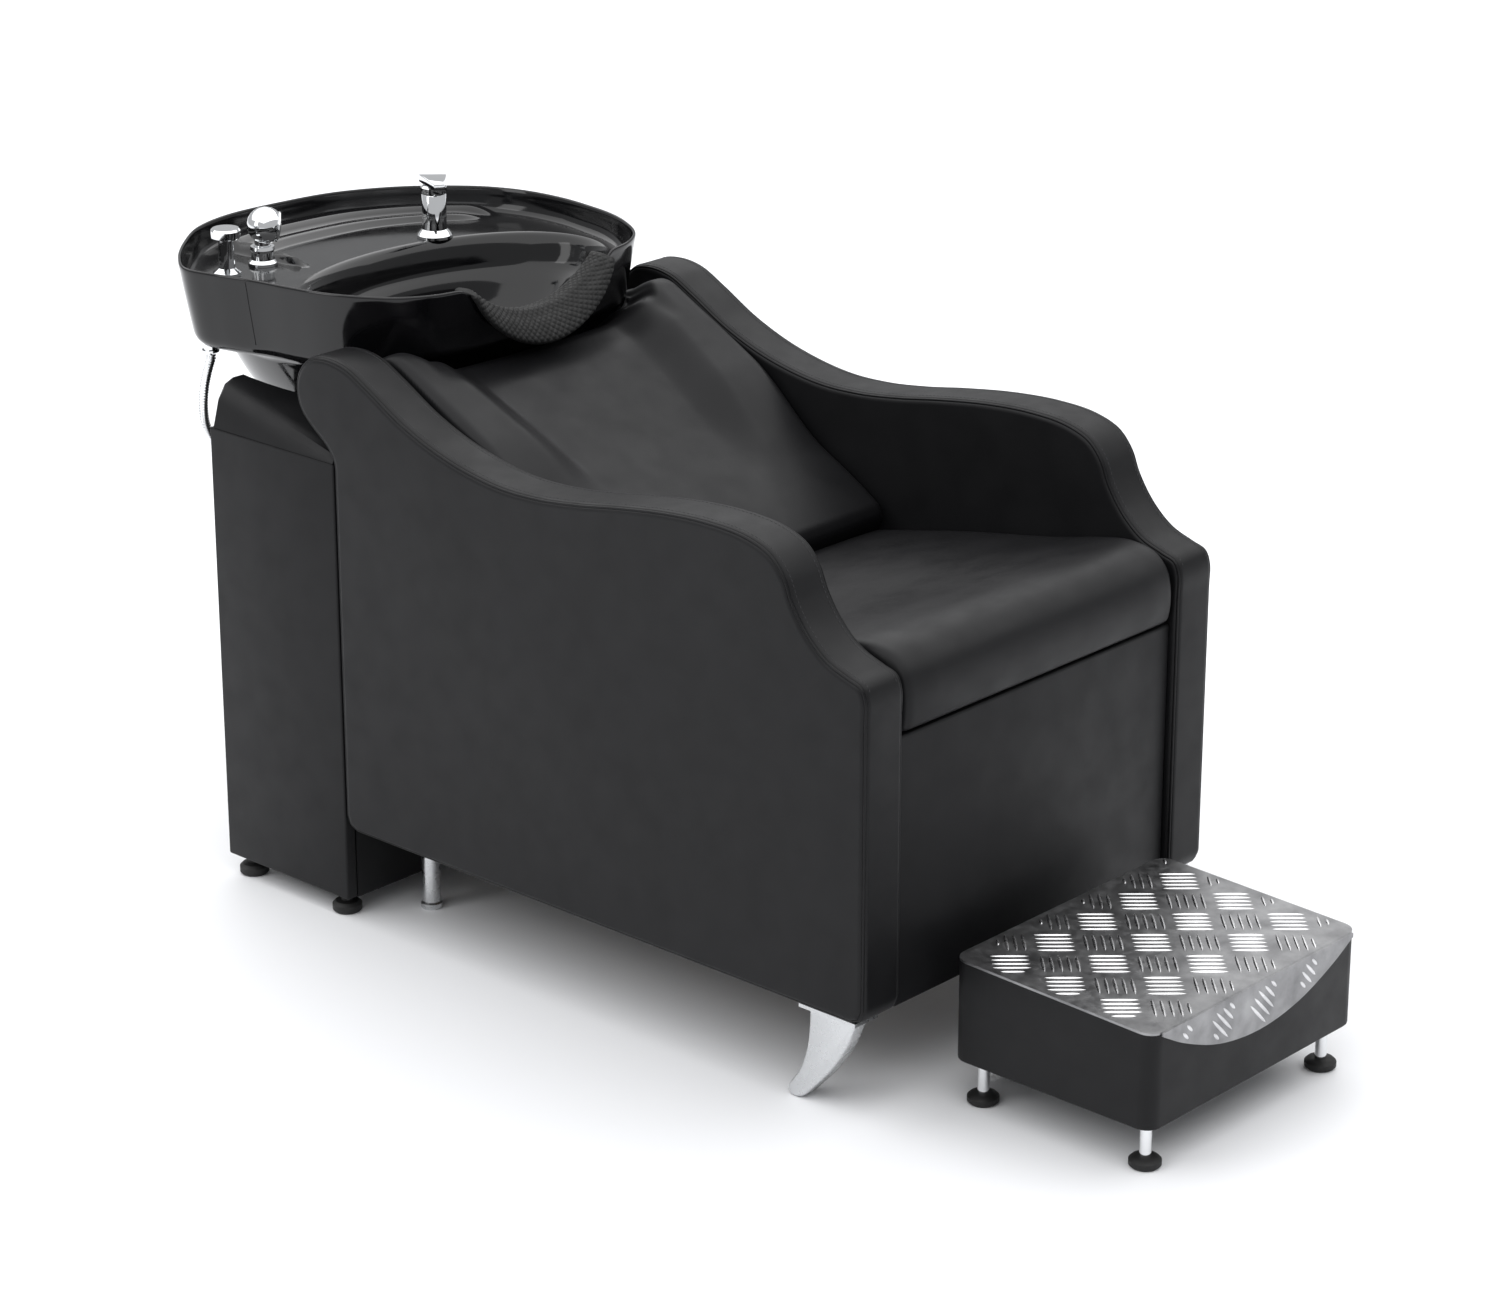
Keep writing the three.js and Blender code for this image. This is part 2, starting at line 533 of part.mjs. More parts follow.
const HEAD = V(SHOWER[0] + 3, SHOWER[1] - 4, 861);
const SPRAY = V(0.78, -0.6, -0.18).normalize(); // the nozzles look across the basin
function showerHead() {
  const ball = toSolid(new THREE.SphereGeometry(25, 24, 14).rotateX(Math.PI / 2).translate(...HEAD.toArray()));
  const stem = turned([[0, 770], [7, 770], [10.6, 776], [10.6, 842], [13, 850], [0, 855]], ...SHOWER, 28);
  const trim = rod(HEAD.clone().addScaledVector(SPRAY, 15), HEAD.clone().addScaledVector(SPRAY, 60), 60, 8);
  return cut(join(ball, stem), trim);
}
function sprayFace() {
  const at = (d) => HEAD.clone().addScaledVector(SPRAY, d);
  return join(rod(at(15 + GAP), at(18), 20.5, 36, 20.5), rod(at(17.9), at(20), 20.5, 36, 17));
}

const collar = () =>
  turned([[0, HOSE_TOP[2]], [10, HOSE_TOP[2]], [12, HOSE_TOP[2] + 2], [12, HOSE_TOP[2] + 5], [9, HOSE_TOP[2] + 6],
    [9, HOSE_TOP[2] + 34], [0, HOSE_TOP[2] + 34]], HOSE_TOP[0], HOSE_TOP[1], 24);
const HOSE_END = [-226, CABINET_REAR + 12 + GAP, 560];
const gland = () =>
  join(rod(V(HOSE_END[0], CABINET_REAR + GAP, HOSE_END[2]), V(HOSE_END[0], CABINET_REAR + 4, HOSE_END[2]), 14, 24),
    rod(V(HOSE_END[0], CABINET_REAR + 3.9, HOSE_END[2]), V(HOSE_END[0], CABINET_REAR + 12, HOSE_END[2]), 9.5, 24));
const HOSE_R = 6.5;
function showerHose() {
  const path = new THREE.CatmullRomCurve3([
    V(HOSE_TOP[0], HOSE_TOP[1], HOSE_TOP[2] - GAP), V(HOSE_TOP[0], HOSE_TOP[1], HOSE_TOP[2] - 8),
    V(-284, 1206, 696), V(-293, 1204, 674), V(-297, 1203, 648), V(-295, 1202, 622), V(-284, 1200, 597),
    V(-264, 1195, 575), V(-242, 1186, 562), V(HOSE_END[0], HOSE_END[1] + 9, HOSE_END[2]), V(...HOSE_END),
  ]);
  const outline = [];
  for (let i = 0; i < 10; i++) {
    const turn = (2 * Math.PI * i) / 10;
    outline.push(new THREE.Vector2(HOSE_R * Math.cos(turn), HOSE_R * Math.sin(turn)));
  }
  return toSolid(new THREE.ExtrudeGeometry(new THREE.Shape(outline), { steps: 28, extrudePath: path, bevelEnabled: false }));
}

function buildTaps() {
  add("mixer_body", mixerBody(), CHROME);
  add("mixer_cap", mixerCap(), CHROME);
  add("mixer_lever", mixerLever(), CHROME);
  add("valve_stem", valveStem(), CHROME);
  add("valve_knob", valveKnob(), CHROME);
  add("shower_holder", showerHolder(), CHROME);
  add("shower_head", showerHead(), CHROME);
  add("spray_face", sprayFace(), CHROME);
  add("hose_collar", collar(), CHROME);
  add("hose_gland", gland(), PLASTIC);
  add("shower_hose", showerHose(), CHROME);
}

// ---- footrest ----
const FOOT_TOP = { front: 183, rear: 192 };
const FOOT_BACK = FOOT_FRONT + TREAD + GAP; // front face of the body, behind the lip

function footPlan(radius) {
  const points = [];
  const corners = [[FOOT_HALF, FOOT_REAR, 0], [-FOOT_HALF, FOOT_REAR, 90], [-FOOT_HALF, FOOT_BACK, 180],
    [FOOT_HALF, FOOT_BACK, 270]];
  for (const [x, y, start] of corners) {
    for (let i = 0; i <= 5; i++) {
      const turn = THREE.MathUtils.degToRad(start + i * 18);
      const [cx, cy] = [x - Math.sign(x) * radius, y - (y === FOOT_REAR ? radius : -radius)];
      points.push([cx + radius * Math.cos(turn), cy + radius * Math.sin(turn)]);
    }
  }
  return points;
}

const footLevel = (y) =>
  FOOT_TOP.front + ((FOOT_TOP.rear - FOOT_TOP.front) * (y - FOOT_FRONT)) / (FOOT_REAR - FOOT_FRONT);

function footBody() {
  const side = [[-400, FOOT_LOW], [0, FOOT_LOW], [0, footLevel(0)], [-400, footLevel(-400)]];
  return upwards(footPlan(20), FOOT_LOW, 260, 3).intersect(sideways(side, -300, 300));
}

function treadPlate() {
  const high = (y) => footLevel(y) + GAP;
  const side = [[-400, high(-400)], [0, high(0)], [0, high(0) + TREAD], [-400, high(-400) + TREAD]];
  const sheet = upwards(footPlan(20), 150, 260).intersect(sideways(side, -300, 300));
  const lipTop = high(FOOT_BACK);
  const arc = smooth([[-FOOT_HALF + 16, lipTop - 2], [-150, lipTop - 24], [-80, lipTop - 50], [0, lipTop - 60],
    [80, lipTop - 50], [150, lipTop - 24], [FOOT_HALF - 16, lipTop - 2]], 36);
  const top = [[FOOT_HALF - 16, lipTop + TREAD - 0.2], [-FOOT_HALF + 16, lipTop + TREAD - 0.2]];
  const lip = lengthways([...arc, ...top], FOOT_FRONT, FOOT_FRONT + TREAD);
  const bridge = lengthways([[-FOOT_HALF + 20, lipTop + 0.2], [FOOT_HALF - 20, lipTop + 0.2],
    [FOOT_HALF - 20, lipTop + TREAD - 0.2], [-FOOT_HALF + 20, lipTop + TREAD - 0.2]], FOOT_FRONT + 1, FOOT_BACK + 2);
  return join(sheet, lip, bridge);
}

const STEM = { x: 178, front: FOOT_FRONT + 30, rear: FOOT_REAR - 28, r: 7.5 };
const levelStem = (x, y) => rod(V(x, y, 14 + GAP), V(x, y, FOOT_LOW - GAP), STEM.r);
const levelPad = (x, y) =>
  turned([[0, 0], [17, 0], [20, 3], [20, 9], [17, 12], [11, 14], [0, 14]], x, y);

function buildFootrest() {
  add("footrest_body", footBody(), UPHOLSTERY);
  add("tread_plate", treadPlate(), TREADPLATE);
  for (const [place, y] of [["front", STEM.front], ["rear", STEM.rear]]) {
    pair("level_stem_" + place, (side) => levelStem(side * STEM.x, y), CHROME);
    pair("level_pad_" + place, (side) => levelPad(side * STEM.x, y), PLASTIC);
  }
}

buildChair();
buildCabinet();
buildBasin();
buildTaps();
buildFootrest();

const root = new THREE.Group();
root.name = "shampoo_backwash_unit";
root.add(unit);
export default root;
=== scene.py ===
import json
import math

import bpy
import numpy as np
from mathutils import Matrix, Vector


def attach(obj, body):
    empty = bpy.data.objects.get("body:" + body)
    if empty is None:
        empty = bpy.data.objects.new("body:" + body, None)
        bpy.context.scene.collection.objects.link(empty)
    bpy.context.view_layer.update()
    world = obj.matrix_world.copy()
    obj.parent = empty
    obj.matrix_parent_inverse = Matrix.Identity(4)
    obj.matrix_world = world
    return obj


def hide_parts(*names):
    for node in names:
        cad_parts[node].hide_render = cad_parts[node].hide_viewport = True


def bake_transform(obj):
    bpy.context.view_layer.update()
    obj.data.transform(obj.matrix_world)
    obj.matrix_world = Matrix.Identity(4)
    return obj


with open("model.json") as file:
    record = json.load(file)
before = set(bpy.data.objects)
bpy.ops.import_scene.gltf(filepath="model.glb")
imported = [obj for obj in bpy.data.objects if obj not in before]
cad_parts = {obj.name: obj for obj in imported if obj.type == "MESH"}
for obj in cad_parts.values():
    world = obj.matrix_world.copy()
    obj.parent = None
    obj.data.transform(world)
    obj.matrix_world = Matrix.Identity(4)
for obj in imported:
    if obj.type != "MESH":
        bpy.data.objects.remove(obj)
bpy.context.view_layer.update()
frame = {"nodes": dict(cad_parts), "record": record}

MID_Y = 523.0  # the drawing's y at the frame's origin, in mm


def P(x, y, z):
    """A point of the drawing, in mm, as metres in the row frame."""
    return (x / 1000, (y - MID_Y) / 1000, z / 1000)


# ---------------------------------------------------------------- camera
def make_camera():
    azimuth, elevation = math.radians(47.59), math.radians(20.45)
    data = bpy.data.cameras.new("camera")
    data.sensor_width = 36.0
    data.lens = 101.47
    data.clip_end = 60
    cam = bpy.data.objects.new("camera", data)
    look = Vector((math.sin(azimuth) * math.cos(elevation),
                   math.cos(azimuth) * math.cos(elevation), -math.sin(elevation)))
    cam.location = P(-3788.6, -2973.6, 2321.2)
    cam.rotation_mode = "QUATERNION"
    cam.rotation_quaternion = look.to_track_quat("-Z", "Y")
    bpy.context.scene.collection.objects.link(cam)
    bpy.context.scene.camera = cam


make_camera()


# ---------------------------------------------------------------- shapes in code
def smoothstep(a, b, t):
    t = np.clip((np.asarray(t, float) - a) / (b - a), 0, 1)
    return t * t * (3 - 2 * t)


def catmull(points, count, closed=False):
    """Centripetal Catmull-Rom curve through points, sampled evenly along its length."""
    p = np.asarray(points, float)
    n = len(p)
    if closed:
        p = np.vstack([p[-1], p, p[0], p[1]])
        spans = n
    else:
        p = np.vstack([2 * p[0] - p[1], p, 2 * p[-1] - p[-2]])
        spans = n - 1
    out = []
    for i in range(spans):
        a, b, c, d = p[i:i + 4]
        t0 = 0
        t1 = t0 + max(np.linalg.norm(b - a), 1e-9) ** 0.5
        t2 = t1 + max(np.linalg.norm(c - b), 1e-9) ** 0.5
        t3 = t2 + max(np.linalg.norm(d - c), 1e-9) ** 0.5
        for t in np.linspace(t1, t2, 14, endpoint=False):
            a1 = (t1 - t) / (t1 - t0) * a + (t - t0) / (t1 - t0) * b
            a2 = (t2 - t) / (t2 - t1) * b + (t - t1) / (t2 - t1) * c
            a3 = (t3 - t) / (t3 - t2) * c + (t - t2) / (t3 - t2) * d
            b1 = (t2 - t) / (t2 - t0) * a1 + (t - t0) / (t2 - t0) * a2
            b2 = (t3 - t) / (t3 - t1) * a2 + (t - t1) / (t3 - t1) * a3
            out.append((t2 - t) / (t2 - t1) * b1 + (t - t1) / (t2 - t1) * b2)
    out.append(out[0] if closed else p[-2])
    return resample(np.array(out), count, closed)


def resample(line, count, closed=False):
    steps = np.linalg.norm(np.diff(line, axis=0), axis=1)
    run = np.concatenate([[0], np.cumsum(steps)])
    at = np.linspace(0, run[-1], count + 1)[:-1] if closed else np.linspace(0, run[-1], count)
    return np.stack([np.interp(at, run, line[:, k]) for k in range(line.shape[1])], 1)


def object_of(name, verts, faces, material, body, smooth=True):
    mesh = bpy.data.meshes.new(name)
    mesh.from_pydata([P(*v) for v in verts], [], [list(map(int, f)) for f in faces])
    mesh.validate()
    mesh.materials.append(material)
    if smooth:
        mesh.shade_smooth()
    o = bpy.data.objects.new(name, mesh)
    bpy.context.scene.collection.objects.link(o)
    if body:
        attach(o, body)
    return o


def ring_faces(rings, count, first=0, closed=True, flip=False):
    faces = []
    last = count if closed else count - 1
    for k in range(rings - 1):
        for i in range(last):
            j = (i + 1) % count
            a, b = first + k * count + i, first + k * count + j
            quad = [a, b, b + count, a + count]
            faces.append(quad[::-1] if flip else quad)
    return faces


def loft(name, rings, material, body, caps=(True, True), flip=False, subdivide=0):
    """A skin over closed rings of equal counts, in mm."""
    count = len(rings[0])
    verts = np.vstack(rings)
    faces = ring_faces(len(rings), count, flip=flip)
    low = list(range(count))
    high = list(range(len(verts) - count, len(verts)))
    if caps[0]:
        faces.append(low if flip else low[::-1])
    if caps[1]:
        faces.append(high[::-1] if flip else high)
    o = object_of(name, verts, faces, material, body)
    if subdivide:
        m = o.modifiers.new("smooth", "SUBSURF")
        m.levels = m.render_levels = subdivide
    return o


def tube(name, line, radius, material, body, sides=8, closed=False, swell=None):
    """A round tube along a line of points, in mm; swell gives the radius's factor at each point."""
    line = np.asarray(line, float)
    n = len(line)
    if closed:
        tangent = np.roll(line, -1, 0) - np.roll(line, 1, 0)
    else:
        tangent = np.gradient(line, axis=0)
    tangent /= np.linalg.norm(tangent, axis=1)[:, None]
    up = np.cross(tangent[0], [0.31, 0.2, 0.93])
    up /= np.linalg.norm(up)
    rings = []
    for i in range(n):
        up = up - tangent[i] * np.dot(up, tangent[i])
        up /= np.linalg.norm(up)
        side = np.cross(tangent[i], up)
        turn = np.linspace(0, 2 * math.pi, sides, endpoint=False)
        r = radius * (1 if swell is None else swell[i])
        rings.append(line[i] + r * (np.outer(np.cos(turn), up) + np.outer(np.sin(turn), side)))
    verts = np.vstack(rings)
    faces = ring_faces(n, sides)
    if closed:
        shift = int(np.argmin(np.linalg.norm(rings[0] - rings[-1][0], axis=1)))
        for i in range(sides):
            a, b = (n - 1) * sides + i, (n - 1) * sides + (i + 1) % sides
            faces.append([a, b, (i + 1 + shift) % sides, (i + shift) % sides])
    else:
        faces.append(list(range(sides))[::-1])
        faces.append(list(range((n - 1) * sides, n * sides)))
    return object_of(name, verts, faces, material, body)


# ---------------------------------------------------------------- materials
class Nodes:
    """A small helper that builds one material's node tree."""

    def __init__(self, name, color, roughness, metallic=0.0, **sockets):
        self.material = bpy.data.materials.new(name)
        self.material.use_nodes = True
        self.tree = self.material.node_tree
        self.shader = self.tree.nodes["Principled BSDF"]
        self.shader.inputs["Base Color"].default_value = (*color, 1)
        self.shader.inputs["Roughness"].default_value = roughness
        self.shader.inputs["Metallic"].default_value = metallic
        for key, value in sockets.items():
            self.shader.inputs[key.replace("_", " ")].default_value = value
        self.coords = self.add("ShaderNodeTexCoord").outputs["Object"]
        self.height = None

    def add(self, kind, **settings):
        node = self.tree.nodes.new(kind)
        for key, value in settings.items():
            setattr(node, key, value)
        return node

    def link(self, a, b):
        self.tree.links.new(a, b)

    def noise(self, scale, detail=3.0, stretch=None, roughness=0.5):
        node = self.add("ShaderNodeTexNoise")
        node.inputs["Scale"].default_value = scale
        node.inputs["Detail"].default_value = detail
        node.inputs["Roughness"].default_value = roughness
        self.link(self.stretched(stretch), node.inputs["Vector"])
        return node.outputs["Fac"]

    def stretched(self, stretch):
        if stretch is None:
            return self.coords
        node = self.add("ShaderNodeMapping")
        node.inputs["Scale"].default_value = stretch
        self.link(self.coords, node.inputs["Vector"])
        return node.outputs["Vector"]

    def cells(self, scale, feature="F1", stretch=None):
        node = self.add("ShaderNodeTexVoronoi", feature=feature)
        node.inputs["Scale"].default_value = scale
        self.link(self.stretched(stretch), node.inputs["Vector"])
        return node.outputs["Distance"]

    def span(self, value, low, high, a=0.0, b=1.0):
        node = self.add("ShaderNodeMapRange")
        for key, number in zip(("From Min", "From Max", "To Min", "To Max"), (a, b, low, high)):
            node.inputs[key].default_value = number
        self.link(value, node.inputs["Value"])
        return node.outputs["Result"]

    def roughness(self, value, low, high, a=0.3, b=0.7):
        self.link(self.span(value, low, high, a, b), self.shader.inputs["Roughness"])
        return self

    def color(self, value, dark, light, a=0.3, b=0.7):
        ramp = self.add("ShaderNodeValToRGB")
        ramp.color_ramp.elements[0].position = a
        ramp.color_ramp.elements[1].position = b
        ramp.color_ramp.elements[0].color = (*dark, 1)
        ramp.color_ramp.elements[1].color = (*light, 1)
        self.link(value, ramp.inputs["Fac"])
        self.link(ramp.outputs["Color"], self.shader.inputs["Base Color"])
        return self

    def bump(self, value, distance, strength=1.0):
        node = self.add("ShaderNodeBump")
        node.inputs["Distance"].default_value = distance
        node.inputs["Strength"].default_value = strength
        self.link(value, node.inputs["Height"])
        if self.height is not None:
            self.link(self.height, node.inputs["Normal"])
        self.height = node.outputs["Normal"]
        self.link(self.height, self.shader.inputs["Normal"])
        return self


def leatherette(name, tone, rough):
    """Smooth black leatherette: fine pebbled grain, faint broad unevenness, a satin film."""
    m = Nodes(name, (tone, tone, tone * 1.1), rough, Specular_IOR_Level=0.2)
    m.color(m.noise(9, 4), (tone * 0.86,) * 2 + (tone * 0.95,), (tone * 1.12,) * 2 + (tone * 1.24,))
    m.roughness(m.noise(24, 5), rough - 0.05, rough + 0.06)
    m.bump(m.cells(1150, "SMOOTH_F1"), 0.00012, 0.55)
    m.bump(m.noise(420, 4), 0.0001, 0.35)
    m.bump(m.noise(7, 2), 0.0015, 0.18)
    return m.material


LEATHER = leatherette("leatherette", 0.0075, 0.42)
LEATHER_BODY = leatherette("leatherette_panel", 0.0065, 0.45)
WELT = leatherette("leatherette_welt", 0.0055, 0.36)


def thread():
    m = Nodes("thread", (0.02, 0.02, 0.022), 0.6)
    m.bump(m.noise(3000, 2, (1, 4, 1)), 0.00015, 0.6)
    m.color(m.noise(60), (0.014, 0.014, 0.016), (0.028, 0.028, 0.031))
    return m.material


def gloss_black():
    m = Nodes("gloss_black", (0.0035, 0.0035, 0.004), 0.1, Specular_IOR_Level=0.42)
    m.roughness(m.noise(30, 5), 0.07, 0.13)
    m.color(m.noise(4), (0.0022, 0.0022, 0.0026), (0.0036, 0.0036, 0.0042))
    m.bump(m.noise(55, 2), 0.0004, 0.05)
    return m.material


def rubber(name, tone=0.008):
    m = Nodes(name, (tone, tone, tone * 1.08), 0.62, Specular_IOR_Level=0.4)
    m.roughness(m.noise(80, 4), 0.52, 0.7)
    m.color(m.noise(14), (tone * 0.8,) * 3, (tone * 1.25,) * 3)
    m.bump(m.noise(1400, 3), 0.0001, 0.5)
    return m.material


def chrome(name, color=(0.82, 0.83, 0.84), rough=(0.03, 0.09), brushed=0.0):
    m = Nodes(name, color, rough[0], 1.0)
    m.roughness(m.noise(60, 5), *rough)
    m.color(m.noise(6), tuple(c * 0.94 for c in color), color)
    m.bump(m.noise(35, 2), 0.0003, 0.04)
    if brushed:
        m.bump(m.noise(240, 4, (1, 1, 14)), 0.0001, brushed)
    return m.material


def painted(name, tone, rough=0.5):
    m = Nodes(name, (tone,) * 3, rough)
    m.roughness(m.noise(50, 4), rough - 0.08, rough + 0.1)
    m.color(m.noise(12, 5), (tone * 0.85,) * 3, (tone * 1.15,) * 3)
    m.bump(m.noise(500, 3), 0.0001, 0.3)
    return m.material


def plywood():
    m = Nodes("plywood", (0.42, 0.29, 0.17), 0.65)
    grain = m.noise(30, 6, (1, 14, 14), 0.6)
    m.color(grain, (0.3, 0.19, 0.1), (0.52, 0.37, 0.22))
    m.roughness(grain, 0.55, 0.75)
    m.bump(grain, 0.0004, 0.3)
    return m.material


def tread_metal(name, low, high, rough):
    m = Nodes(name, high, rough[0], 1.0)
    m.color(m.noise(26, 6), low, high)
    m.roughness(m.noise(90, 6), *rough)
    m.bump(m.noise(700, 3, (1, 9, 1)), 0.00008, 0.35)
    m.bump(m.noise(60, 3), 0.0004, 0.2)
    return m.material


THREAD = thread()
GLOSS = gloss_black()
RUBBER = rubber("rubber")
PLASTIC = rubber("plastic", 0.01)
CHROME = chrome("chrome")
SATIN = chrome("satin_chrome", (0.66, 0.67, 0.68), (0.22, 0.34), 0.3)
STEEL = painted("frame_paint", 0.03)
GREY_PLASTIC = painted("grey_plastic", 0.3, 0.45)
PLY = plywood()
# painted dark reflection: the tread plate's aluminium is toned down to dark grey, standing in for the dark chair it
# reflects
PLATE_PAINTED_DARK_REFLECTION = tread_metal("tread_ground_painted_dark_reflection", (0.2, 0.2, 0.205), (0.36, 0.36, 0.365), (0.3, 0.46))
# painted highlight: the raised bars get a far lighter copy of the plate's aluminium, standing in for the light
# their tops catch
BARS_PAINTED_HIGHLIGHT = tread_metal("tread_bars_painted_highlight", (0.62, 0.62, 0.63), (0.9, 0.9, 0.9), (0.2, 0.34))
# painted highlight: the bars on the front lip get another lighter copy of the aluminium, standing in for the light
# the front-facing lip catches
LIP_PAINTED_HIGHLIGHT = tread_metal("tread_lip_painted_highlight", (0.6, 0.6, 0.61), (0.85, 0.85, 0.86), (0.24, 0.4))

SLOT_LOOK = {
    "upholstery": LEATHER_BODY, "laminate": LEATHER_BODY, "bowl_black": GLOSS, "rubber_black": RUBBER,
    # the CAD tread plate takes the darkened aluminium, a painted dark reflection
    "chrome": CHROME, "satin_chrome": SATIN, "tread_aluminium": PLATE_PAINTED_DARK_REFLECTION, "frame_steel": STEEL,
    "plywood": PLY, "plastic_black": PLASTIC, "waste_plastic": GREY_PLASTIC,
}


def shading_group():
    """Welds a carried-over solid and keeps only its real edges sharp."""
    g = bpy.data.node_groups.new("soft_shading", "GeometryNodeTree")
    g.interface.new_socket("Geometry", in_out="INPUT", socket_type="NodeSocketGeometry")
    g.interface.new_socket("Geometry", in_out="OUTPUT", socket_type="NodeSocketGeometry")
    start, end = g.nodes.new("NodeGroupInput"), g.nodes.new("NodeGroupOutput")
    weld = g.nodes.new("GeometryNodeMergeByDistance")
    weld.inputs["Distance"].default_value = 0.00002
    faces = g.nodes.new("GeometryNodeSetShadeSmooth")
    faces.domain = "FACE"
    edges = g.nodes.new("GeometryNodeSetShadeSmooth")
    edges.domain = "EDGE"
    edges.inputs["Shade Smooth"].default_value = False
    angle = g.nodes.new("GeometryNodeInputMeshEdgeAngle")
    sharp = g.nodes.new("FunctionNodeCompare")
    sharp.operation = "GREATER_THAN"
    sharp.inputs[1].default_value = math.radians(32)
    g.links.new(angle.outputs["Unsigned Angle"], sharp.inputs[0])
    g.links.new(start.outputs[0], weld.inputs["Geometry"])
    g.links.new(weld.outputs["Geometry"], faces.inputs["Geometry"])
    g.links.new(faces.outputs["Geometry"], edges.inputs["Geometry"])
    g.links.new(sharp.outputs["Result"], edges.inputs["Selection"])
    g.links.new(edges.outputs["Geometry"], end.inputs[0])
    return g


def dress_frame():
    group = shading_group()
    slots = {s["node"]: s["material_slot"] for s in frame["record"]["subparts"]}
    for name, o in frame["nodes"].items():
        o.data.materials.clear()
        o.data.materials.append(SLOT_LOOK[slots[name]])
        normals = o.data.attributes.get("custom_normal")
        if normals:
            o.data.attributes.remove(normals)
        o.modifiers.new("shading", "NODES").node_group = group


dress_frame()

# ---------------------------------------------------------------- shower hose
HOSE_R = 6.5
HOSE_PATH = [(-277, 1207, 717.7), (-277, 1207, 710), (-284, 1206, 696), (-293, 1204, 674), (-297, 1203, 648),
             (-295, 1202, 622), (-284, 1200, 597), (-264, 1195, 575), (-242, 1186, 562),
             (-226, 1171.3, 560), (-226, 1162.3, 560)]


def hose():
    line = catmull(HOSE_PATH, 361)
    rib = 1 + 0.06 * np.cos(np.arange(361) * 2 * math.pi / 6)
    o = tube("shower_hose_ribbed", line, HOSE_R, CHROME, None, 20, swell=rib)
    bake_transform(o)
    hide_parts("shower_hose")


hose()

# ---------------------------------------------------------------- arm panels
ARM_TOP = [
    (0, 520), (0, 548), (8, 566), (30, 574), (62, 586), (93, 612), (116, 645), (128, 672), (150, 696), (190, 710),
    (250, 714), (320, 710), (400, 699), (470, 687), (540, 679), (612, 679), (700, 695), (775, 722), (840, 757),
    (880, 776), (920, 781), (950, 774), (970, 752), (975, 728), (968, 702), (947, 681), (921, 661), (908.5, 643),
    (907, 612)]
ARM_FOOT = [(907, 153), (901, 139), (887, 133), (20, 133), (6, 139), (0, 153)]
ARM_ROUND = 10.0
SEAM_AT = math.radians(47)


def inward(outline):
    """Unit normals that point into a closed outline drawn clockwise or not."""
    ahead = np.roll(outline, -1, 0) - np.roll(outline, 1, 0)
    ahead /= np.linalg.norm(ahead, axis=1)[:, None]
    normal = np.stack([-ahead[:, 1], ahead[:, 0]], 1)
    area = np.sum(outline[:, 0] * np.roll(outline[:, 1], -1) - outline[:, 1] * np.roll(outline[:, 0], -1))
    return normal if area > 0 else -normal


def arm_outline():
    top = catmull(ARM_TOP, 250)
    foot = np.array(ARM_FOOT, float)
    closed = np.vstack([top, foot, top[:1]])
    return resample(closed, 640, closed=True)


def arm(side):
    name = "right" if side < 0 else "left"
    outline = arm_outline()
    normal = inward(outline)
    rings = []
    levels = []
    for a in np.linspace(0, math.pi / 2, 15):
        groove = 1.7 * math.exp(-(((a - SEAM_AT) / 0.16) ** 2))
        r = ARM_ROUND - groove
        levels.append((ARM_ROUND - r * math.cos(a), ARM_ROUND - r * math.sin(a)))
    for d, e in [(-1.4, 60), (-1.2, 34), (-0.6, 18)]:
        levels.insert(0, (d + 1.4 * (e < 20), e)) if e > 50 else None
    half = [(x, e) for x, e in levels if e < 50]
    across = [(265 + 35 - (35 - d), e) for d, e in half] + [(335 - d, e) for d, e in half[::-1]]
    for x, e in across:
        pts = outline + normal * e
        rings.append(np.column_stack([np.full(len(pts), side * x), pts]))
    o = loft("arm_" + name, rings, LEATHER_BODY, "chair_and_cabinet", flip=side > 0)
    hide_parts("arm_panel_" + name)
    for where, x0, sign in (("outer", 335, -1), ("inner", 265, 1)):
        e = ARM_ROUND - (ARM_ROUND - 0.9) * math.sin(SEAM_AT)
        d = ARM_ROUND - (ARM_ROUND - 0.9) * math.cos(SEAM_AT)
        pts = outline + normal * e
        line = np.column_stack([np.full(len(pts), side * (x0 + sign * d)), pts])
        tube("arm_welt_%s_%s" % (where, name), line, 1.9, WELT, "chair_and_cabinet", 8, closed=True)
    stitches("arm_stitches_" + name, side)


def stitches(name, side):
    """Rows of short thread stitches on the top band beside both seams."""
    top = catmull(ARM_TOP, 200)
    run = np.concatenate([[0], np.cumsum(np.linalg.norm(np.diff(top, axis=0), axis=1))])
    verts, faces = [], []
    for x in (323.5, 276.5):
        for s in np.arange(40, run[-1] - 30, 6.5):
            ends = [np.array([np.interp(t, run, top[:, 0]), np.interp(t, run, top[:, 1])]) for t in (s, s + 4.2)]
            along = (ends[1] - ends[0]) / np.linalg.norm(ends[1] - ends[0])
            out = np.array([-along[1], along[0]])
            base = len(verts)
            for end, taper in ((ends[0], 0.5), ((ends[0] + ends[1]) / 2, 1.0), (ends[1], 0.5)):
                for turn in range(6):
                    c, q = math.cos(turn * math.pi / 3), math.sin(turn * math.pi / 3)
                    lift = 0.1 + 0.45 * taper * q
                    verts.append((side * (x + 0.5 * taper * c), *(end + out * lift)))
            for k in range(2):
                for i in range(6):
                    j = (i + 1) % 6
                    faces.append([base + k * 6 + i, base + k * 6 + j, base + k * 6 + 6 + j, base + k * 6 + 6 + i])
            faces.append([base + i for i in range(6)])
            faces.append([base + 12 + i for i in range(6)][::-1])
    object_of(name, verts, faces, THREAD, "chair_and_cabinet")


arm(-1)
arm(1)

# ---------------------------------------------------------------- cushions
SEAT_SLOPE = 56 / 472


def seat_under(y):
    return 486 - (y - 8) * SEAT_SLOPE


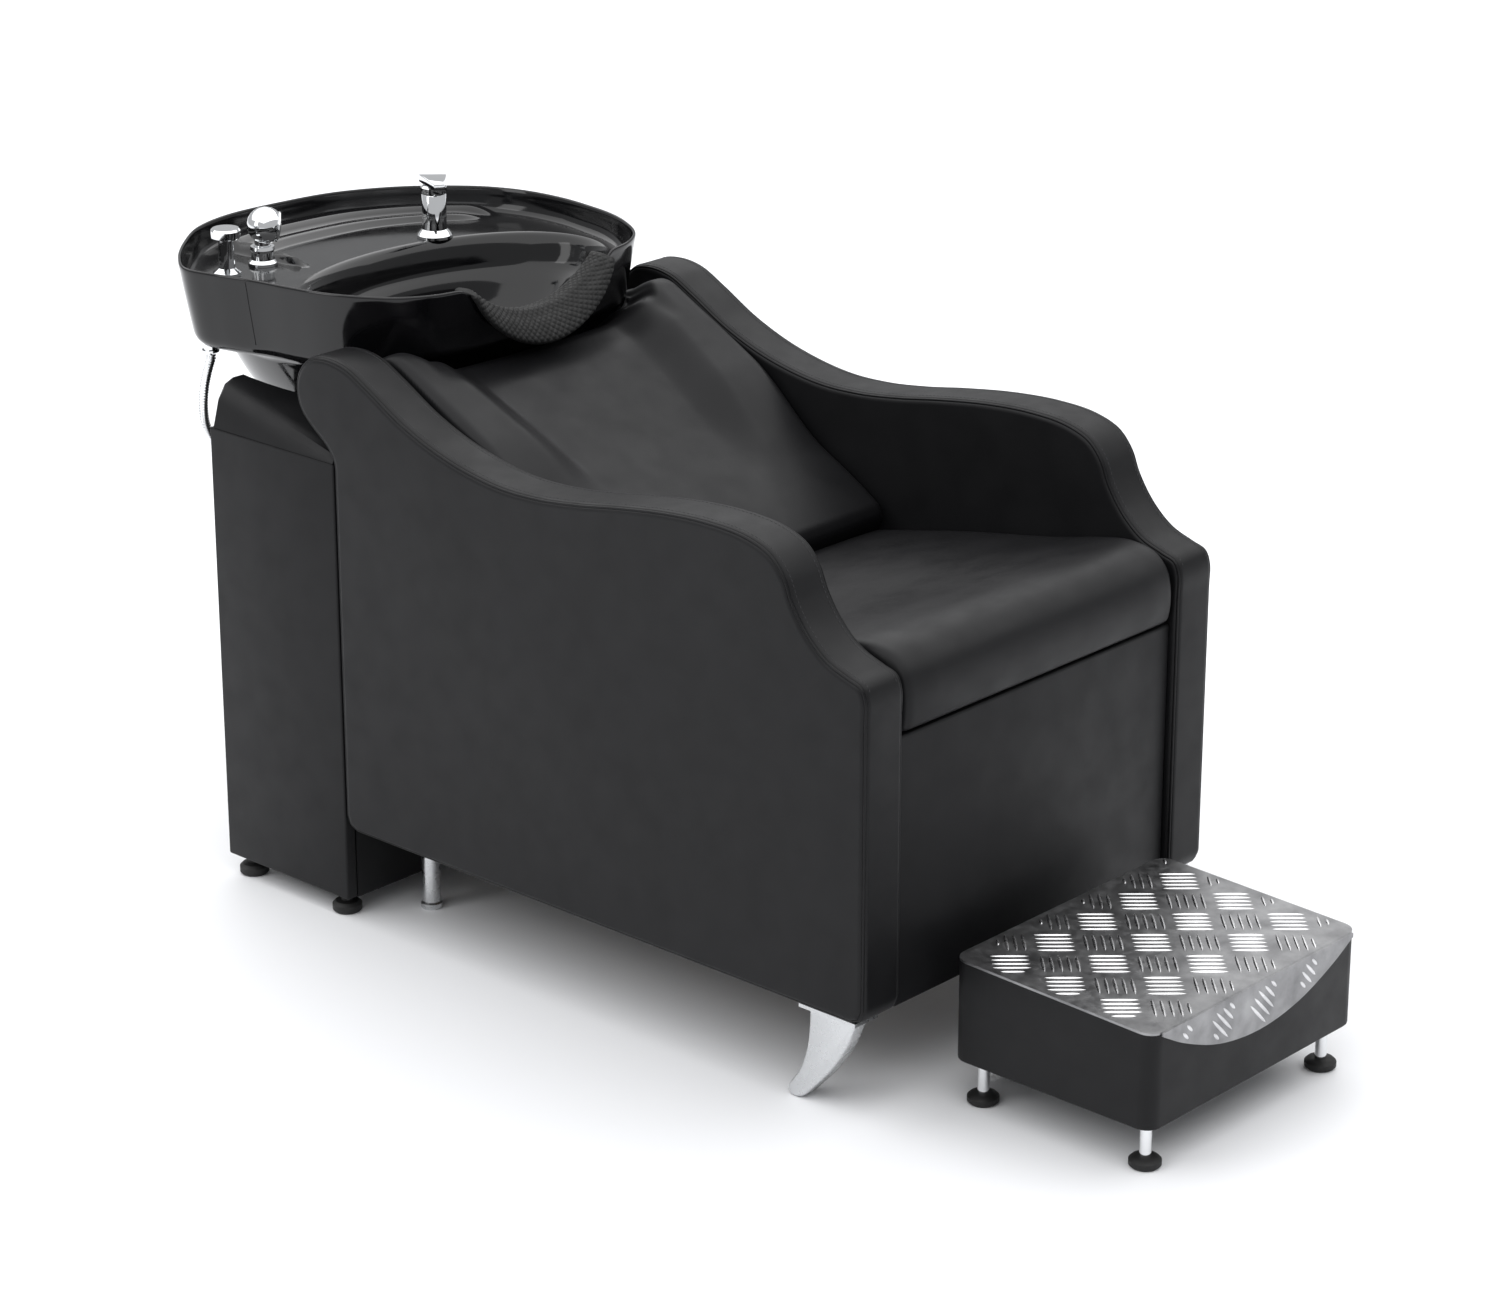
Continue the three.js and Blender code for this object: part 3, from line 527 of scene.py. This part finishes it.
def seat():
    top = catmull([(5, 492), (2, 508), (2, 535), (9, 560), (28, 578), (60, 586), (110, 583), (200, 566), (300, 547),
                   (400, 525), (484, 506)], 120)
    under = np.array([(500, 480), (506, 462), (506, seat_under(506)), (260, seat_under(260)), (14, seat_under(14))])
    outline = resample(np.vstack([top, under, top[:1]]), 220, closed=True)
    normal = inward(outline)
    rings = []
    for t in np.linspace(-1, 1, 97):
        x = 262 * math.sin(t * math.pi / 2) if abs(t) > 2 else 262 * t
        edge = 262 - abs(x)
        e = 15 - math.sqrt(max(0, 15 ** 2 - max(0, 15 - edge) ** 2))
        pts = outline + normal * e
        y, z = pts[:, 0].copy(), pts[:, 1].copy()
        upper = smoothstep(470, 520, z)
        body = smoothstep(0, 60, edge)
        hollow = 9 * np.exp(-((y - 210) / 110) ** 2) * (0.35 + 0.65 * np.cos(math.pi * x / 524) ** 2)
        roll = 3.5 * np.exp(-((y - 40) / 45) ** 2) * body
        pull = 5.0 * np.exp(-edge / 30) * smoothstep(60, 160, y)
        z = z + upper * (-hollow + roll - pull)
        y = y - 4 * body * np.exp(-((z - 535) / 45) ** 2) * (y < 60)
        rings.append(np.column_stack([np.full(len(y), x), y, z]))
    o = loft("seat_pad", rings, LEATHER, "chair_and_cabinet", subdivide=1)
    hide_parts("seat_cushion")


BACK_FOOT = np.array([476.0, 529.0])
BACK_RUN = np.array([386.0, 213.0]) / np.linalg.norm([386.0, 213.0])
BACK_UP = np.array([-BACK_RUN[1], BACK_RUN[0]])


def back():
    """The scooped back: a sunken middle between side bolsters that fade out towards the seat."""
    rings = []
    s = np.concatenate([np.linspace(0, 440, 90), np.linspace(446, 478, 12)])
    for t in np.linspace(-1, 1, 121):
        x = 262 * t
        edge = 262 - abs(x)
        fade = smoothstep(120, 290, s - 0.25 * abs(x) * 0)
        inner = 168 - 26 * smoothstep(440, 160, s)
        bolster = 27 * smoothstep(0, 62, abs(x) - inner + 30) * fade
        crown = 5 * np.sin(np.clip(s / 470, 0, 1) * math.pi)
        dip = -7 * math.cos(math.pi * x / 524) ** 2 * smoothstep(90, 260, s)
        lower = 4 * np.exp(-((s - 60) / 70) ** 2)
        round_edge = 16 - math.sqrt(max(0, 256 - max(0, 16 - edge) ** 2))
        reach = 30 * smoothstep(206, 236, abs(x))
        face = bolster + crown + dip + lower - round_edge
        face = face - 7 * (1 - smoothstep(195, 225, abs(x))) * smoothstep(385, 440, s)
        along = s + reach * smoothstep(380, 478, s)
        roll = smoothstep(425, 478, s)
        face = face - (44 + 10 * (abs(x) > 220)) * roll ** 2.2
        foot = 1 - smoothstep(0, 14, s)
        face = face - 10 * foot
        front = BACK_FOOT + np.outer(along, BACK_RUN) + np.outer(face, BACK_UP)
        end = along[-1]
        rear_s = np.array([end - 2, end - 14, end - 30, 330, 220, 110, 14, 4, 0])
        rear_f = np.array([-56, -68, -72, -72, -72, -72, -72, -66, -56]) + round_edge * 0.6
        rear = BACK_FOOT + np.outer(rear_s, BACK_RUN) + np.outer(rear_f, BACK_UP)
        pts = np.vstack([front, rear])
        rings.append(np.column_stack([np.full(len(pts), x), pts]))
    o = loft("back_pad", rings, LEATHER, "chair_and_cabinet", subdivide=1)
    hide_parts("back_cushion")


seat()
back()

# ---------------------------------------------------------------- basin
RIM = [
    (0, 860), (60, 860), (125, 861), (180, 872), (222, 900), (252, 943), (272, 990), (283, 1045), (289, 1105),
    (283, 1172), (262, 1228), (224, 1278), (170, 1326), (92, 1365), (0, 1380), (-90, 1382), (-160, 1362),
    (-222, 1318), (-280, 1262), (-312, 1212), (-307, 1165), (-292, 1105), (-283, 1045), (-272, 990), (-252, 943),
    (-222, 900), (-180, 872), (-125, 861), (-60, 860)]
BASIN_MID = np.array([0.0, 1120.0])
AROUND = 320
rim_line = catmull(RIM, AROUND, closed=True)
rim_turn = np.arctan2(rim_line[:, 1] - 1040, rim_line[:, 0])


BODY = RIM[:15] + [(-90, 1368), (-145, 1341), (-195, 1305), (-238, 1262), (-268, 1215), (-284, 1165),
                   (-289, 1105)] + RIM[22:]


def same_turn(outline):
    """The points of an outline at the rim's own directions from the basin's middle."""
    dense = catmull(outline, 1200, closed=True) - BASIN_MID
    turn = np.arctan2(dense[:, 1], dense[:, 0])
    order = np.argsort(turn)
    reach = np.linalg.norm(dense, axis=1)
    rim = rim_line - BASIN_MID
    at = np.arctan2(rim[:, 1], rim[:, 0])
    r = np.interp(at, turn[order], reach[order], period=2 * math.pi)
    return BASIN_MID + np.column_stack([r * np.cos(at), r * np.sin(at)])


body_line = same_turn(BODY)


def ring(scale, z, shift=0.0, line=rim_line):
    xy = (line - BASIN_MID) * scale + BASIN_MID
    return np.column_stack([xy[:, 0], xy[:, 1] + shift, np.full(AROUND, float(z))])


def under(scale, z, shift=0.0):
    return ring(scale, z, shift, body_line)


def oval(a, b, z, y):
    return np.column_stack([a * np.cos(rim_turn), y + b * np.sin(rim_turn), np.full(AROUND, float(z))])


def notch_crest(x):
    crest = 964 - np.sqrt(np.maximum(184.3 ** 2 - np.minimum(np.abs(x), 170) ** 2, 1))
    return 840 - 4 * np.log1p(np.exp((840 - crest) / 4))


def shaped(r):
    """Clears the back cushion below the front wall and lowers the wall for the neck."""
    x, y, z = r.T
    z = np.maximum(z, 752 - 112 * smoothstep(903, 930, y))
    lift = np.clip((z - 752) / (840 - 752), 0, 1.02)
    crest = notch_crest(x)
    front = 1 - smoothstep(892, 925, y)
    z = np.where(z > 752, z + front * lift * (crest - 840), z)
    return np.column_stack([x, y, z])


def deck_height(t, r):
    x, y = r[:, 0], r[:, 1]
    rear = smoothstep(1190, 1235, y) * smoothstep(-140, -112, x)
    step = 6.5 * smoothstep(0.40, 0.33, t) + 6.5 * smoothstep(0.22, 0.15, t)
    rib = 12 * np.exp(-((x + 118 + 0.1 * (y - 1240)) / 4.5) ** 2) * smoothstep(1195, 1212, y)
    return step * rear + rib * smoothstep(0.02, 0.1, t) * smoothstep(0.98, 0.85, t)


def basin():
    rings = [under(0.75, 700, 4), under(0.69, 655, 12), under(0.685, 648, 14), under(0.688, 645.2, 14),
             under(0.70, 645.6, 14), under(0.718, 650, 13), under(0.74, 656.5, 11), under(0.765, 664, 9.5),
             under(0.795, 675.5, 7), under(0.83, 690, 4), under(0.857, 703, 2.6), under(0.88, 714, 1.4),
             under(0.895, 722, 0.5), under(0.905, 727.2), ring(0.915, 730), ring(0.926, 733),
             ring(0.938, 737), ring(0.946, 742), ring(0.951, 748),
             ring(0.959, 762), ring(0.972, 785), ring(0.985, 808), ring(0.993, 824), ring(0.9975, 832),
             ring(1.0, 836), ring(1.0005, 838.2), ring(0.9985, 840), ring(0.995, 840.8), ring(0.990, 840.6),
             ring(0.9865, 839), ring(0.984, 835.5), ring(0.981, 829), ring(0.976, 819), ring(0.969, 811.5),
             ring(0.958, 807.6), ring(0.945, 806.2)]
    wall = rings[-1]
    lip = oval(252, 156, 806, 1022)
    for t in np.linspace(0.04, 1, 26):
        mid = wall * (1 - t) + lip * t
        mid[:, 2] = 806 + deck_height(np.full(AROUND, t), mid)
        rings.append(mid)
    rings += [oval(248, 153, 805.2, 1022), oval(244, 149, 802.6, 1022), oval(240, 145.5, 798, 1022),
              oval(237, 142, 790, 1022), oval(234.5, 139.5, 780, 1022), oval(231, 136, 771, 1023),
              oval(226, 131, 764.5, 1027), oval(221, 122, 760, 1032), oval(213, 111, 754, 1037),
              oval(204, 107, 742, 1037), oval(194, 103, 727, 1037), oval(182, 98, 712, 1037),
              oval(167, 91, 696, 1036), oval(148, 81, 683, 1036), oval(124, 67, 674.5, 1035.5),
              oval(92, 50, 670, 1035), oval(55, 38, 668.4, 1035), oval(34.5, 34.5, 668, 1035),
              oval(22, 22, 668, 1035), oval(22, 22, 640, 1035)]
    o = loft("basin_gloss", [shaped(r) for r in rings], GLOSS, "basin", caps=(False, False))
    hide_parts("basin_bowl")
    seam()


def seam():
    """The joint line between the basin and its rear lobe, down the outer wall on the sitter's right."""
    near = [i for i in range(AROUND) if rim_line[i, 0] < 0]
    for name, side in (("right", -1), ("left", 1)):
        picks = [i for i in range(AROUND) if rim_line[i, 0] * side > 0]
        i = min(picks, key=lambda k: abs(rim_line[k, 1] - 1113))
        xy = lambda sc: (rim_line[i] - BASIN_MID) * sc + BASIN_MID
        line = [(*xy(s), z) for s, z in ((0.9505, 748), (0.9585, 762), (0.9715, 785), (0.9845, 808), (0.9925, 824),
                                         (0.997, 832), (0.9995, 836))]
        tube("basin_seam_" + name, catmull(line, 24), 0.75, WELT, "basin", 6)


basin()


def neck_rest():
    """Rubber saddle with a raised diamond pattern on the pad and its front apron."""
    across, down = 260, 54
    rings = []
    for k in range(across + 1):
        share = 2 * k / across - 1
        turn = share * math.radians(44)
        swell = 1 - share * share
        section = np.array([(891, 180.5), (888, 178), (878, 176.5), (866, 176), (858, 179 + 4 * swell),
                            (850 - 5 * swell, 181 + 16 * swell), (848 - 11 * swell, 184 + 30 * swell),
                            (850 - 10 * swell, 186 + 33 * swell)])
        pad = catmull(section, down)
        step = np.linspace(0, 1, down)
        run = np.concatenate([[0], np.cumsum(np.linalg.norm(np.diff(pad, axis=0), axis=1))])
        arc = turn * 180
        u, v = (arc + run) / 9.5, (arc - run) / 9.5
        peak = np.minimum(np.abs(np.sin(math.pi * u)), np.abs(np.sin(math.pi * v)))
        raised = 1.5 * smoothstep(0.15, 0.6, peak) * smoothstep(0.03, 0.12, step) * smoothstep(1, 0.93, step)
        raised = raised * smoothstep(0, 0.05, 1 - abs(share))
        ahead = np.gradient(pad, axis=0)
        ahead /= np.linalg.norm(ahead, axis=1)[:, None]
        out = np.column_stack([ahead[:, 1], -ahead[:, 0]])
        if out[down // 3, 1] > 0:
            out = -out
        pad = pad + out * raised[:, None]
        under = np.array([(853, 187 + 28 * swell), (858, 186 + 16 * swell), (859.3, 183.4), (891, 183.4)])
        loop = np.vstack([pad, under])
        rings.append(np.column_stack([loop[:, 1] * math.sin(turn), loop[:, 0], 964 - loop[:, 1] * math.cos(turn)]))
    o = loft("neck_rest_rubber", rings, RUBBER, "basin")
    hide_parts("neck_rest")


neck_rest()

# ---------------------------------------------------------------- tread plate
FOOT_FRONT, FOOT_REAR, FOOT_HALF = -337.0, -32.0, 207.0
CELL = 59.0


def foot_level(y):
    return 183 + 9 * (y - FOOT_FRONT) / (FOOT_REAR - FOOT_FRONT) + 3.3


def ridge(verts, faces, centre, along, length, width, height, place):
    """One raised bar with pointed ends, laid on the plate by place(u, v, h)."""
    n = 9
    base = len(verts)
    side = np.array([-along[1], along[0]])
    for i in range(n):
        t = 2 * i / (n - 1) - 1
        w = width * (1 - t * t) ** 0.55 * 0.5 + 0.05
        for a in (-1, -0.55, 0, 0.55, 1):
            h = height * math.cos(a * math.pi / 2) * (1 - t ** 4)
            uv = centre + along * (t * length / 2) + side * (a * w)
            verts.append(place(uv[0], uv[1], h - 0.03))
    for i in range(n - 1):
        for k in range(4):
            a = base + i * 5 + k
            faces.append([a, a + 1, a + 6, a + 5])


def inside_plate(p, along, length):
    ends = [p + along * k * length / 2 for k in (-1, 1)]
    return all(abs(e[0]) < FOOT_HALF - 5 and FOOT_FRONT + 5 < e[1] < FOOT_REAR - 4 for e in ends)


def tread():
    place = lambda u, v, h: (u, v, foot_level(v) + h)
    diagonal = [np.array([1, 1]) / math.sqrt(2), np.array([1, -1]) / math.sqrt(2)]
    verts, faces = [], []
    for i in range(-8, 9):
        for j in range(-8, 9):
            centre = np.array([-6.0, -178.0]) + CELL * (i * diagonal[0] + j * diagonal[1])
            along, aside = (diagonal[1], diagonal[0]) if (i + j) % 2 == 0 else (diagonal[0], diagonal[1])
            for k in range(-2, 3):
                p = centre + aside * k * 10.6
                for length in (47, 30, 16):
                    if inside_plate(p, along, length):
                        ridge(verts, faces, p, along, length, 4.6, 1.5, place)
                        break
    # the bars carry the lighter aluminium, a painted highlight
    object_of("tread_bars_painted_highlight", verts, faces, BARS_PAINTED_HIGHLIGHT, "footrest")
    lip_bars()


def lip_edge(x):
    return 183.3 - 60 * max(0.0, 1 - (abs(x) / 191) ** 2)


def lip_bars():
    """The same bars where they run over the front lip, cut by its curved lower edge."""
    verts, faces = [], []
    place = lambda u, v, h: (u, FOOT_FRONT - h, v)
    diagonal = [np.array([1, 1]) / math.sqrt(2), np.array([1, -1]) / math.sqrt(2)]
    for i in range(-8, 9):
        for j in range(-8, 9):
            centre = np.array([12.0, 160.0]) + CELL * (i * diagonal[0] + j * diagonal[1])
            along, aside = (diagonal[1], diagonal[0]) if (i + j) % 2 == 0 else (diagonal[0], diagonal[1])
            for k in range(-2, 3):
                p = centre + aside * k * 10.6
                for length in (47, 30, 16):
                    ends = [p + along * q * length / 2 for q in (-1, 0, 1)]
                    if all(lip_edge(e[0]) + 4 < e[1] < 183 for e in ends):
                        ridge(verts, faces, p, along, length, 4.4, 1.2, place)
                        break
    # the lip bars carry the lighter aluminium, a painted highlight
    object_of("lip_bars", verts, [f[::-1] for f in faces], LIP_PAINTED_HIGHLIGHT, "footrest")


tread()


# ---------------------------------------------------------------- stage
def area_light(name, at, aim, size, power, color=(1, 1, 1)):
    data = bpy.data.lights.new(name, "AREA")
    data.shape = "RECTANGLE"
    data.size, data.size_y = size
    data.energy = power
    data.color = color
    o = bpy.data.objects.new(name, data)
    o.location = at
    o.rotation_mode = "QUATERNION"
    o.rotation_quaternion = (Vector(aim) - Vector(at)).to_track_quat("-Z", "Y")
    bpy.context.scene.collection.objects.link(o)


def stage():
    m = Nodes("studio_floor", (0.86, 0.865, 0.88), 0.55)
    m.color(m.noise(0.7, 2), (0.85, 0.855, 0.87), (0.87, 0.875, 0.89))
    size = 40
    mesh = bpy.data.meshes.new("floor")
    mesh.from_pydata([(-size, -size, 0), (size, -size, 0), (size, size, 0), (-size, size, 0)], [], [(0, 1, 2, 3)])
    mesh.materials.append(m.material)
    floor = bpy.data.objects.new("floor", mesh)
    bpy.context.scene.collection.objects.link(floor)
    world = bpy.data.worlds.new("studio")
    world.use_nodes = True
    background = world.node_tree.nodes["Background"]
    background.inputs["Color"].default_value = (0.97, 0.98, 1.0, 1)
    background.inputs["Strength"].default_value = 0.55
    bpy.context.scene.world = world
    area_light("ceiling", (0.5, 3.0, 7.0), (0.5, 3.0, 0), (22, 22), 2150)
    area_light("left", (-4.4, 1.6, 2.6), (0, 0.2, 0.6), (1.6, 2.4), 30)
    bpy.context.scene.view_settings.view_transform = "Standard"


stage()
